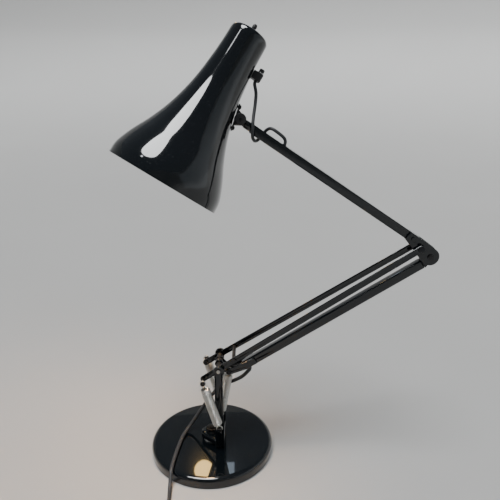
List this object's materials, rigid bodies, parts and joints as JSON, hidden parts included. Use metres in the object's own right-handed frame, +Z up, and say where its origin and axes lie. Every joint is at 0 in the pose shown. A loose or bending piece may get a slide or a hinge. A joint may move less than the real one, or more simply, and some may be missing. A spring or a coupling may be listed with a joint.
{
  "type": "architect desk lamp",
  "caption": "Sprung parallel-arm desk lamp: round weighted base, low fork, twin flat link bars with a square push tube, square upper arm and a black bell shade.",
  "frame": {"origin": "centre of the round base, on the surface the lamp stands on", "axes": "+Z up; +X towards the elbow, in the plane of the arms; +Y away from the viewer"},
  "size_m": [0.4215, 0.3154, 0.5976],
  "materials": {
    "enamel_steel": "gloss black enamel",
    "enamel_shade": "gloss black enamel outside, white enamel inside",
    "weight_iron": "rough grey casting",
    "zinc_steel": "bright zinc plate",
    "spring_steel": "bright spring wire",
    "felt": "black felt",
    "nylon": "grey nylon",
    "black_plastic": "black plastic, satin",
    "cord_rubber": "soft dark grey flex sheath",
    "bulb_glass": "frosted glass with a metal screw cap"
  },
  "bodies": {
    "post": {"swivel_spindle": "zinc_steel", "swivel_nut": "zinc_steel", "saddle": "enamel_steel", "upright_front": "enamel_steel", "upright_rear": "enamel_steel", "main_axle": "zinc_steel", "axle_spacer_front": "nylon", "axle_spacer_rear": "nylon", "anchor_axle": "enamel_steel", "mains_cord": "cord_rubber", "mains_cord_coil": "cord_rubber", "cord_tie": "black_plastic", "plug": "black_plastic"},
    "base": {"base_shell": "enamel_steel", "base_weight": "weight_iron", "base_pad": "felt", "swivel_bush": "nylon"},
    "lower_arm": {"link_bar_front": "enamel_steel", "link_bar_rear": "enamel_steel", "bar_spacer": "nylon", "tail_pin_front": "zinc_steel", "tail_pin_rear": "zinc_steel", "elbow_pin": "zinc_steel"},
    "upper_arm": {"elbow_plate_front": "enamel_steel", "elbow_plate_rear": "enamel_steel", "upper_tube": "enamel_steel", "elbow_rivet": "enamel_steel", "arm_end_plug": "black_plastic", "push_pin": "zinc_steel", "shade_lead_lower": "cord_rubber"},
    "crank": {"crank_plate_front": "enamel_steel", "crank_plate_rear": "enamel_steel", "crank_hub": "black_plastic", "crank_pin": "zinc_steel"},
    "push_tube": {"lower_tube": "enamel_steel", "tube_cheek_front": "enamel_steel", "tube_cheek_rear": "enamel_steel", "tube_lug": "black_plastic", "cord_grommet": "cord_rubber"},
    "outer_springs": {"spring_front": "spring_steel", "spring_rear": "spring_steel"},
    "outer_spring_eyes": {"spring_front_eye": "spring_steel", "spring_rear_eye": "spring_steel"},
    "middle_spring": {"spring_middle": "spring_steel"},
    "middle_spring_eye": {"spring_middle_eye": "spring_steel"},
    "stem": {"shade_stem": "enamel_steel"},
    "shade": {"shade_shell": "enamel_shade", "shade_bracket": "enamel_steel", "bracket_screw_upper": "black_plastic", "bracket_screw_lower": "black_plastic", "knuckle_bolt": "zinc_steel", "knuckle_knob": "black_plastic", "cord_grip": "black_plastic", "grip_washer": "zinc_steel", "grip_screw": "black_plastic", "lampholder": "black_plastic", "bulb": "bulb_glass", "switch_nut": "zinc_steel", "shade_lead_upper": "cord_rubber"},
    "button": {"switch_button": "black_plastic"}
  },
  "joints": [
    {"name": "base_turn", "type": "hinge", "parent": "post", "child": "base", "pos_m": [0, 0, 0.01], "axis": [0, 0, 1], "range_deg": [-180, 180]},
    {"name": "lower_arm_tilt", "type": "hinge", "parent": "post", "child": "lower_arm", "pos_m": [0.013, 0, 0.1455], "axis": [0, -1, 0], "range_deg": [-12, 24], "deforming": ["mains_cord"]},
    {"name": "upper_arm_tilt", "type": "hinge", "parent": "lower_arm", "child": "upper_arm", "pos_m": [0.28221, 0, 0.32033], "axis": [0, -1, 0], "range_deg": [-25, 25]},
    {"name": "crank_follow", "type": "hinge", "parent": "lower_arm", "child": "crank", "pos_m": [0.013, 0, 0.1455], "axis": [0, -1, 0], "range_deg": [-25.5, 25.5]},
    {"name": "push_tube_follow", "type": "hinge", "parent": "upper_arm", "child": "push_tube", "pos_m": [0.29618, 0, 0.30775], "axis": [0, -1, 0], "range_deg": [-25.5, 25.5]},
    {"name": "outer_spring_swing", "type": "hinge", "parent": "post", "child": "outer_springs", "pos_m": [0.0135, 0, 0.057], "axis": [0, -1, 0], "range_deg": [-4.01, 2.25]},
    {"name": "outer_spring_stretch", "type": "slide", "parent": "outer_springs", "child": "outer_spring_eyes", "axis": [-0.2815, 0, 0.9596], "range_m": [-0.00986, 0.00508], "deforming": ["spring_front", "spring_rear", "spring_front_eye", "spring_rear_eye"]},
    {"name": "middle_spring_swing", "type": "hinge", "parent": "post", "child": "middle_spring", "pos_m": [0.0135, 0, 0.057], "axis": [0, -1, 0], "range_deg": [-3.71, 3.71]},
    {"name": "middle_spring_stretch", "type": "slide", "parent": "middle_spring", "child": "middle_spring_eye", "axis": [0.1747, 0, 0.9846], "range_m": [-0.00707, 0.00707], "deforming": ["spring_middle", "spring_middle_eye"]},
    {"name": "shade_roll", "type": "hinge", "parent": "upper_arm", "child": "stem", "pos_m": [0.04394, 0, 0.48464], "axis": [-0.832, 0, 0.5548], "range_deg": [-60, 60], "deforming": ["shade_lead_lower"]},
    {"name": "shade_tilt", "type": "hinge", "parent": "stem", "child": "shade", "pos_m": [0.04394, 0, 0.48464], "axis": [0.1408, -0.9673, 0.2111], "range_deg": [-45, 55], "deforming": ["shade_lead_upper"]},
    {"name": "button_press", "type": "slide", "parent": "shade", "child": "button", "axis": [-0.5132, -0.2537, -0.8199], "range_m": [0, 0.0022], "stiffness_N_per_m": 600, "springref_m": -0.002}
  ],
  "couplings": [
    {"joint": "crank_follow", "follows": "upper_arm_tilt", "ratio": 1},
    {"joint": "push_tube_follow", "follows": "upper_arm_tilt", "ratio": -1},
    {"joint": "outer_spring_swing", "follows": "lower_arm_tilt", "ratio": -0.14612},
    {"joint": "outer_spring_stretch", "follows": "lower_arm_tilt", "m_per_rad": -0.022822},
    {"joint": "middle_spring_swing", "follows": "upper_arm_tilt", "ratio": -0.1284},
    {"joint": "middle_spring_stretch", "follows": "upper_arm_tilt", "m_per_rad": 0.015507}
  ]
}
